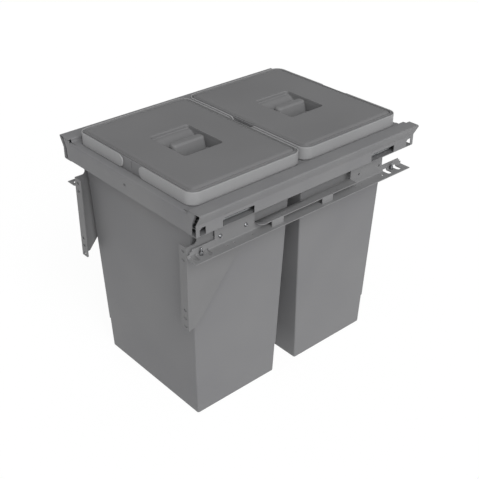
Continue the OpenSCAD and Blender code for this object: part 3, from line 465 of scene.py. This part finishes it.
# %% [markdown]
# ## From the profile to the bin
# The body leans and the rim stands upright, so each loop lies between two
# outlines by its share. The thin line and the notch in the middle of the rim
# could be cut with booleans, but those leave slivers. The points near the
# middle are moved instead, by a formula of their distance from it.

# %% Bin surface
def bin_grid(rows, shift):
    """Each row's outline lies between the leaning body and the upright rim by its
    share: half size = (1 - share) (body + draft x height) + share x rim + offset."""
    share, offset, height, radius = rows.T
    lean = DRAFT * (height - LEDGE)
    half_w = (1 - share) * (BODY[0] + lean) + share * RIM[0] + offset
    half_d = (1 - share) * (BODY[1] + lean) + share * RIM[1] + offset
    middle_y = (1 - share) * BODY[3] + share * RIM[3] + shift
    return loops(half_w, half_d, radius, middle_y, height, NEAR_MIDDLE)


def mark_rim(grid, rows):
    """A line 1.4 mm wide and 1 mm deep down the rim's middle, front and back, and a
    notch whose depth falls from 1.5 mm by half a millimetre for each millimetre."""
    share, offset, height = rows.T[:3]
    reach = np.abs(grid[..., 0])
    front = np.sign(grid[..., 1] - grid[..., 1].mean(axis=1, keepdims=True))
    outside = ((share == 1) & (offset > -0.4) & (height > LEDGE + 0.4))[:, None]
    groove = np.clip((0.7 - reach) / 0.2, 0, 1)
    marked = grid.copy()
    marked[..., 1] -= front * groove * outside * (reach < 9.5)
    top = ((share == 1) & (height > RIM_TOP - 1.0))[:, None]
    notch = np.clip(1.5 - reach / 2, 0, 1.5)
    marked[..., 2] -= notch * top * (reach < 9.5)
    return marked


print("bin grid:", bin_grid(bin_profile(), 0.0).shape)

# %% [markdown]
# ## Turned pieces
# The bosses that the handles swing on are round, and so are screws, pins and
# rivets. One profile of radius and height is swept round an axis for each. It
# can turn six-sided for a socket, which a plain lathe shape can't.

# %% Turned pieces
def turned(profile, centre, axis, columns=32, hexagon=None):
    """A turned piece: each (radius, height) row swept round an axis. Rows named in
    hexagon are drawn six-sided, r / cos of the angle to the nearest flat."""
    radius, height = np.array(profile, float).T
    angle = np.linspace(0, 2 * pi, columns, endpoint=False)[None, :]
    radius, height = radius[:, None] + 0 * angle, height[:, None] + 0 * angle
    if hexagon is not None:
        flat = (angle + pi / 6) % (pi / 3) - pi / 6
        six = np.array(hexagon, float)[:, None]
        radius = radius * (1 + six * (1 / np.cos(flat) - 1))
    along = np.array(axis, float)
    across = np.roll(along, 1)
    third = np.cross(along, across)
    return (np.array(centre, float) + radius[..., None] * np.cos(angle)[..., None] * across
            + radius[..., None] * np.sin(angle)[..., None] * third + height[..., None] * along)


PIVOT = (33.15, 4.65)    # x and z of the handle bosses
BOSS = [(0.02, 0), (3.5, 0), (3.5, 2.9), (3.2, 3.2), (0.02, 3.2)]


def bosses(shift):
    """Four short round bosses on the rim that the handles swing on."""
    ends = [(15.4, 1), (248.1, -1)]
    return [turned(BOSS, (side * PIVOT[0], y + shift, PIVOT[1]), (0, way, 0))
            for side in (-1, 1) for y, way in ends]


# %% Make the bins
rows = bin_profile()
for which, shift in (("front", 0.0), ("rear", BIN_STEP)):
    grid = mark_rim(bin_grid(rows, shift), rows)
    piece = make_piece(f"{which}_waste_bin", [grid] + bosses(shift), f"{which}_bin", bin_plastic)
    print(piece.name, len(piece.data.polygons), "faces, box", np.round(piece.dimensions, 4))

# %% [markdown]
# ## The lids
# A lid lies on the seat inside the rim. From its edge inwards it has a thin lip,
# a groove that catches drips, and a raised top. A pocket goes down in the middle,
# and its sides slope in under the fingers like two scoops. One profile of loops
# makes all of it, from below the pocket out to the edge and back in to the
# pocket's floor. The bar that the fingers close on is a second closed grid. It
# stands free in the pocket, with a gap at each end.

# %% Lid outlines
LID = (152.7, 113.45, 16.2, 0.0)        # half width, half depth, corner, shift in y
RAISED = (142.2, 102.95, 3.0, 0.0)
POCKET = (48.0, 41.0, 6.5, -3.25)
LID_TOP, GROOVE_FLOOR, LIP_TOP = 18.0, 14.5, 17.0
POCKET_FLOOR, BROW = -6.0, 11.0
LID_WALL, POCKET_WALL = 2.2, 2.0
ROUND_R, ROUND_IN = 8.6, -2.4    # the raised top's round edge, and where it starts


def around(shape, offset, z, narrow=None):
    """One row: a shape grown by an offset, or by another offset along y if given."""
    along = offset if narrow is None else narrow
    return (shape[0] + offset, shape[1] + along, max(shape[2] + along, 0.6), z, shape[3])


def ramp(offset, z):
    """One row of the round edge of the raised top, which keeps its corners' small radius."""
    return (RAISED[0] + offset, RAISED[1] + offset, RAISED[2], z, RAISED[3])


def scoop(depth, grow):
    """Rows of the sloping sides, from the brow to the floor: half widths fall from
    the pocket's to the scoop's foot, and the half depth stays the same."""
    half_w = np.array([0.0, -0.9, -2.6, -4.6, -5.8, -8.0, -15.0, -28.0, -31.5, -33.0]) + POCKET[0]
    fall = np.array([-1.6, -0.4, 0.05, 0.3, 0.7, 1.95, 6.1, 13.9, 16.0, 17.0])
    return [(w + grow * 0.5, POCKET[1] + grow, POCKET[2] + grow, BROW - z - depth, POCKET[3])
            for w, z in zip(half_w, fall)]


print("round edge", ROUND_R, "mm, pocket", 2 * POCKET[0], "x", 2 * POCKET[1], "mm")

# %% Lid profile
def lid_profile():
    """Rows of (half width, half depth, corner radius, height, shift) from below the
    pocket, out along the underside, round the edge, and in over the top."""
    wall, under = POCKET_WALL, LID_TOP - LID_WALL
    rows = scoop(wall, wall)[:2:-1]
    rows += [around(POCKET, wall, z) for z in (BROW - wall, SEAT + 1, under - 1)]
    rows += [around(POCKET, wall + 1, under), around(RAISED, -3.2, under)]
    rows += [around(RAISED, -2.2, z) for z in (under - 1, SEAT + 0.2)]
    rows += [around(RAISED, -2, SEAT), around(LID, -0.5, SEAT)]
    rows += [around(LID, 0, z) for z in (SEAT + 0.4, 14, LIP_TOP - 0.9)]
    rows += [around(LID, x, z) for x, z in fillet((-0.8, LIP_TOP - 0.8), 0.8, 0, 90)]
    rows += [around(LID, x, z) for x, z in fillet((-1.5, LIP_TOP - 0.5), 0.5, 90, 180, 4)]
    rows += [around(LID, -2, GROOVE_FLOOR + 0.8)]
    rows += [around(LID, x, z) for x, z in fillet((-2.8, GROOVE_FLOOR + 0.8), 0.8, 0, -90, 4)]
    rows += [ramp(5.3, GROOVE_FLOOR), ramp(4.9, GROOVE_FLOOR + 0.1)]
    rows += [ramp(x, z) for x, z in fillet((ROUND_IN, LID_TOP - ROUND_R), ROUND_R, 36, 90, 9)]
    rows += [around(POCKET, 4.4, LID_TOP, 1.6)]
    rows += [around(POCKET, 3.6, LID_TOP - 0.02, 1.0)]
    rows += [around(POCKET, x, z, 0.25 * x)
             for x, z in fillet((2.4, LID_TOP - 2.4), 2.4, 100, 180, 6)]
    rows += scoop(0.0, 0.0)
    return np.array(rows)


print(len(lid_profile()), "loops from under the pocket over the edge to its floor")

# %% Make the lids
GRIP_SHIFT = -1.5    # the bar stands a little in front of the lid's middle


def grip_profile():
    """The bar: up its drafted sides, over a round edge, and into a shallow gate mark."""
    rows = [(11.6, 36.6, 8, POCKET_FLOOR - 1), (9.1, 34.1, 8, LID_TOP - 5.8)]
    rows += [(9 + x, 34 + x, 8 + x, z) for x, z in fillet((-5, LID_TOP - 5), 5, 0, 90, 9)]
    rows += [(r, r, r, LID_TOP - z) for r, z in [(2.0, 0), (1.7, 0.1), (1.3, 0.4), (0.4, 0.5)]]
    return np.array([(*row, GRIP_SHIFT) for row in rows])


def stacked(rows, middle_y):
    """Loops of a profile about one middle."""
    half_w, half_d, radius, height, shift = rows.T
    return loops(half_w, half_d, radius, middle_y + shift, height)


for which, step in (("front", 0.0), ("rear", BIN_STEP)):
    middle_y = RIM[3] + step
    piece = make_piece(f"{which}_bin_lid",
                       [stacked(lid_profile(), middle_y), stacked(grip_profile(), middle_y)],
                       f"{which}_lid", lid_plastic)
    print(piece.name, len(piece.data.polygons), "faces")

# %% [markdown]
# ## The swing handles
# Each bin has two handles, and each is half of a flat band that lies round the
# rim. Its ends are round and turn on the bosses. The band is a pill-shaped plate
# bent round two corners, so it is drawn flat first. The flat plate has loops
# that step in from its outline, which rounds its edges all the way round the
# ends too. Then a path bends it: distance along the plate becomes distance along
# the path, and depth in the plate becomes distance from the path.

# %% Bent band
HANDLE_T, HANDLE_H = 2.2, 22.3
HANDLE_X, HANDLE_Y, HANDLE_R = (size - HANDLE_T / 2 for size in (157.5, 117.75, 20))
HANDLE_START = 22.0    # x of the handle's round end
EDGE_R = 0.75


def bent_band(along, height, depth, middle_y):
    """Bends flat points round the rim. The path turns by
    clip((s - front) / r) + clip((s - front - arc - side) / r), each up to 90 degrees,
    and a point is the turning centre + (r + depth) x (sin turn, -cos turn)."""
    front = HANDLE_X - HANDLE_R - HANDLE_START
    side = 2 * (HANDLE_Y - HANDLE_R)
    arc = HANDLE_R * pi / 2
    turn = (np.clip((along - front) / HANDLE_R, 0, pi / 2)
            + np.clip((along - front - arc - side) / HANDLE_R, 0, pi / 2))
    centre_x = (HANDLE_START + np.clip(along, 0, front)
                - np.clip(along - front - 2 * arc - side, 0, front))
    centre_y = np.clip(along - front - arc, 0, side) - side / 2
    x = centre_x + (HANDLE_R + depth) * np.sin(turn)
    y = middle_y + centre_y - (HANDLE_R + depth) * np.cos(turn)
    return np.stack([x, y, height], axis=-1)


print("handle band", HANDLE_T, "x", HANDLE_H, "mm")

# %% Make the handles
def band_grid(middle_y):
    """Loops of the flat pill: half circles of radius R - inset at both ends and the
    long edges between them, at the depth that a rounded edge has at that inset."""
    front = HANDLE_X - HANDLE_R - HANDLE_START
    side, arc = 2 * (HANDLE_Y - HANDLE_R), HANDLE_R * pi / 2
    length, radius = 2 * (front + arc) + side, HANDLE_H / 2
    stops = np.concatenate([np.linspace(radius, front, 6)[:-1],
                            np.linspace(front, front + arc, 13)[:-1],
                            np.linspace(front + arc, front + arc + side, 7)[:-1],
                            np.linspace(front + arc + side, length - front, 13)[:-1],
                            np.linspace(length - front, length - radius, 6)])
    bow = np.linspace(pi / 2, -pi / 2, 17)[1:-1]
    base = np.concatenate([stops, np.full_like(bow, length - radius),
                           stops[::-1], np.full_like(bow, radius)])
    reach_s = np.concatenate([0 * stops, np.cos(bow), 0 * stops, -np.cos(bow)])
    reach_z = np.concatenate([1 + 0 * stops, np.sin(bow), -1 + 0 * stops, -np.sin(bow)])
    flat, edge = HANDLE_T / 2, EDGE_R
    rounding = [(edge - edge * cos(a), flat - edge + edge * sin(a))
                for a in np.linspace(pi / 2, 0, 5)]
    profile = ([(radius, flat), (radius / 2, flat), (2.0, flat)] + rounding
               + [(x, -z) for x, z in rounding[::-1]]
               + [(2.0, -flat), (radius / 2, -flat), (radius, -flat)])
    inset, depth = (np.array(v)[:, None] for v in zip(*profile))
    size = np.maximum(radius - inset, 0)
    return bent_band(base + size * reach_s, PIVOT[1] + size * reach_z,
                     depth + 0 * reach_s, middle_y)


for which, shift in (("front", 0.0), ("rear", BIN_STEP)):
    for side, way in (("left", -1), ("right", 1)):
        grid = band_grid(RIM[3] + shift) * [way, 1, 1]
        node = f"{which}_bin_{side}_handle"
        piece = make_piece(f"{which}_{side}_swing_handle", [grid], node, handle_plastic)
print("handle:", len(piece.data.polygons), "faces, box", np.round(piece.dimensions, 4))

# %% [markdown]
# ## Screws, pins and rivets
# These are turned or headed on a machine, so each is a profile swept round an
# axis. A button-head screw has a domed head and a six-sided socket. A locating
# pin has a collar at its foot and a round end that finds its hole. A rivet has a
# low dome below and lies flush above.

# %% Fastener profiles
RAIL_TOP, RAIL_FACE = -88.0, 162.0
SCREW_Y, SCREW_RISE = (65.5, 119.0), 15.5
PIN_Y, PIN_OUT = (23.0, RAIL_END - 32), 5
RIVET_Y, RIVET_X, RIVET_Z = (29.0, 46.0), 153.2, -9.6


def dome(radius, rise, steps=7):
    """Quarter of an ellipse from the rim of a head to near its middle."""
    angle = np.linspace(0, pi / 2 * 0.97, steps)
    return [(radius * cos(a), rise * sin(a)) for a in angle]


HEAD = [(r, z + 0.5) for r, z in dome(3.75, 1.9)[:5]]
SCREW = ([(0.02, -3.0), (2.0, -3.0), (2.0, -0.02), (3.5, -0.02), (3.75, 0.2)] + HEAD
         + [(1.45, 2.25), (1.3, 2.1), (1.25, 0.9), (0.02, 0.7)])
SOCKET = [0] * (len(SCREW) - 4) + [1, 1, 1, 0]
PIN = [(0.02, -1.5), (1.6, -1.5), (1.6, 0.0), (2.8, 0.0), (3.0, 0.2), (3.0, 6.5), (2.85, 6.85),
       (2.5, 7.0), (1.8, 7.0), (1.6, 7.2)] + [(r, z + 11.9) for r, z in dome(1.6, 1.6)]
RIVET = [(0.02, 2.6), (1.6, 2.6), (1.6, 0.0), (2.9, 0.0), (3.1, -0.1)] + [
    (r, -z) for r, z in dome(3.05, 1.4)[1:]]

print("rows of the profiles:", len(SCREW), "screw,", len(PIN), "pin,", len(RIVET), "rivet")

# %% Make the fasteners
for side, way in (("left", -1), ("right", 1)):
    screws = [turned(SCREW, (way * RAIL_FACE, y, RAIL_TOP + SCREW_RISE), (way, 0, 0), 36, SOCKET)
              for y in SCREW_Y]
    make_piece(f"{side}_runner_screws", screws, f"{side}_rail_screws", bright_steel)
    pins = [turned(PIN, (way * (RAIL_FACE + PIN_OUT), y, RAIL_TOP), (0, 0, 1)) for y in PIN_Y]
    make_piece(f"{side}_locating_pins", pins, f"{side}_rail_pins", bright_steel)
    rivets = [turned(RIVET, (way * RIVET_X, y, RIVET_Z), (0, 0, 1)) for y in RIVET_Y]
    make_piece(f"{side}_hanger_rivets", rivets, f"{side}_bracket_rivets", bright_steel)
print("screw head", 2 * SCREW[5][0], "mm across")

# %% [markdown]
# ## Folded and rolled sheet
# The members, rails, brackets and runner profiles have the right shape already.
# What their model lacks is a soft edge. A cut edge of coated sheet has a radius
# of a few tenths of a millimetre that catches a thin line of light. A copy is
# merged into one skin, flat faces become single faces, and a narrow bevel goes
# along each edge sharper than the bends' own small steps.

# %% Dressing a node
FOLD = 35    # degrees; a bend's own small steps stay below it, and cut edges are above it


def dressed(node, finish, edge, name):
    """A merged copy of a node with its edges bevelled by edge millimetres."""
    mesh = nodes[node].data.copy()
    mesh.name = name
    shaped = bmesh.new()
    shaped.from_mesh(mesh)
    bmesh.ops.remove_doubles(shaped, verts=shaped.verts, dist=2e-6)
    bmesh.ops.dissolve_limit(shaped, angle_limit=radians(1), verts=shaped.verts,
                             edges=shaped.edges)
    shaped.to_mesh(mesh)
    shaped.free()
    piece = settle(bpy.data.objects.new(name, mesh), node, finish, FOLD)
    if edge:
        bevel = piece.modifiers.new("soft_edge", "BEVEL")
        bevel.limit_method = "ANGLE"
        bevel.angle_limit = radians(FOLD)
        bevel.width = edge / 1000
        bevel.segments = 2
        bevel.use_clamp_overlap = True
        bevel.harden_normals = True
    return piece


print("bevels on edges sharper than", FOLD, "degrees")

# %% Sheet and rolled parts
SHEET = {"side_member": 0.3, "door_bracket": 0.3, "rail": 0.3, "fixed_profile": 0.2,
         "middle_profile": 0.2, "drawer_profile": 0.2, "outer_cage": 0.0, "inner_cage": 0.0,
         "outer_balls": 0.0, "inner_balls": 0.0, "runner_stop": 0.5}
for side in ("left", "right"):
    for part, edge in SHEET.items():
        node = f"{side}_{part}"
        finish = bracket_coat if part == "door_bracket" else FINISHES[slot_of[node]]
        dressed(node, finish, edge, f"{side}_dressed_{part}")
for node in ("front_cross_member", "centre_cross_member", "rear_cross_member"):
    dressed(node, grey_coat, 0.3, f"dressed_{node}")
print(2 * len(SHEET) + 3, "sheet and rolled pieces dressed")

# %% [markdown]
# ## The floor
# The product is shown on white, as in a catalogue. The floor is a wide disc just
# under the bins. Brighter lamps would turn it white and the product pale, so
# Light Path does it instead: the camera sees most of the floor shining by
# itself, and the rest is paint, which keeps the product's shadow.

# %% Floor
GLOW, WHITE = 0.0, 0.85    # share of the floor that shines by itself, unseen and seen
SHINE = 1.1                # brings the lit floor to full white, so that it meets the world


def disc(inner, radius, height, rings=6, columns=72):
    """A flat disc: rings of growing radius at one height, in metres."""
    reach = np.geomspace(inner, radius, rings)[:, None]
    angle = np.linspace(0, 2 * pi, columns, endpoint=False)[None, :]
    return np.stack([reach * np.cos(angle), reach * np.sin(angle), height + 0 * reach * angle], -1)


rings = disc(0.3, 8.0, metres([0, 0, BIN_FLOOR])[2] - 0.0002)
floor_mesh = bpy.data.meshes.new("studio_floor")
floor_faces = quads(rings.shape[0], rings.shape[1], 0)[:, ::-1].tolist()
floor_mesh.from_pydata(rings.reshape(-1, 3).tolist(), [],
                       floor_faces + [list(range(rings.shape[1]))])
floor = bpy.data.objects.new("studio_floor", floor_mesh)
bpy.context.scene.collection.objects.link(floor)

floor_paint, tree = new_finish("white_studio_floor")
rays = add(tree, "LightPath")
shine = add(tree, "Math", {"operation": "MAXIMUM"}, _0=(rays, "Is Camera Ray"),
            _1=(rays, "Is Glossy Ray"))
share = add(tree, "MapRange", _0=(shine, "Value"), _3=GLOW, _4=WHITE)
paint = add(tree, "BsdfDiffuse", Color=colour("#c6c6c6"))
white = add(tree, "Emission", Color=(1, 1, 1, 1), Strength=SHINE)
both = add(tree, "MixShader", _0=(share, "Result"), _1=(paint, "BSDF"), _2=(white, "Emission"))
add(tree, "OutputMaterial", Surface=(both, "Shader"))
floor_mesh.materials.append(floor_paint)
print("floor at z =", round(float(rings[0, 0, 2]), 4), "m")

# %% [markdown]
# ## World and lamp
# A catalogue photo is lit by large soft boxes. The world is plain and a little
# brighter near the horizon, which lights the sides. One broad lamp from the
# right gives the faces that turn that way their lift. It is a sun with a wide
# disc, because a sun lights every piece alike, wherever a joint carries it.

# %% World and lamp
SKY, HORIZON, BAND = 0.37, 0.05, 0.6    # level overhead, more near the horizon, sine of its top

world = bpy.data.worlds.new("studio")
bpy.context.scene.world = world
world.use_nodes = True
tree = world.node_tree
tree.nodes.clear()
rays = add(tree, "LightPath")
seen = add(tree, "Math", {"operation": "MAXIMUM"}, _0=(rays, "Is Camera Ray"),
           _1=(rays, "Is Transmission Ray"))
place = add(tree, "TexCoord")
split = add(tree, "SeparateXYZ", Vector=(place, "Generated"))
up = add(tree, "Math", {"operation": "ABSOLUTE"}, _0=(split, "Z"))
level = add(tree, "MapRange", {"interpolation_type": "SMOOTHSTEP"}, _0=(up, "Value"),
            _1=0.0, _2=BAND, _3=SKY + HORIZON, _4=SKY)
strength = add(tree, "Mix", {"data_type": "FLOAT"}, _0=(seen, "Value"),
               _2=(level, "Result"), _3=1.0)
sky = add(tree, "Background", Color=(1, 1, 1, 1), Strength=(strength, "Result"))
add(tree, "OutputWorld", Surface=(sky, "Background"))


def sun(name, direction, strength, spread):
    """A sun that shines from a direction, softened by its spread in degrees."""
    lamp = bpy.data.lights.new(name, "SUN")
    lamp.energy = strength
    lamp.angle = radians(spread)
    holder = bpy.data.objects.new(name, lamp)
    bpy.context.scene.collection.objects.link(holder)
    back = np.array(direction, float) / np.linalg.norm(direction)
    right = np.cross([0, 0, 1], back)
    right /= np.linalg.norm(right)
    pose = np.identity(4)
    pose[:3, :3] = np.stack([right, np.cross(back, right), back], axis=1)
    holder.matrix_world = Matrix(pose.tolist())


sun("right_softbox", (0.64, -0.26, 0.48), 2.5, 50)
print("world", SKY, "to", SKY + HORIZON)

# %% [markdown]
# ## Finish
# The view transform is Standard, so a colour shows as it was written.

# %% Finish
bpy.context.scene.view_settings.view_transform = "Standard"
bpy.context.view_layer.update()
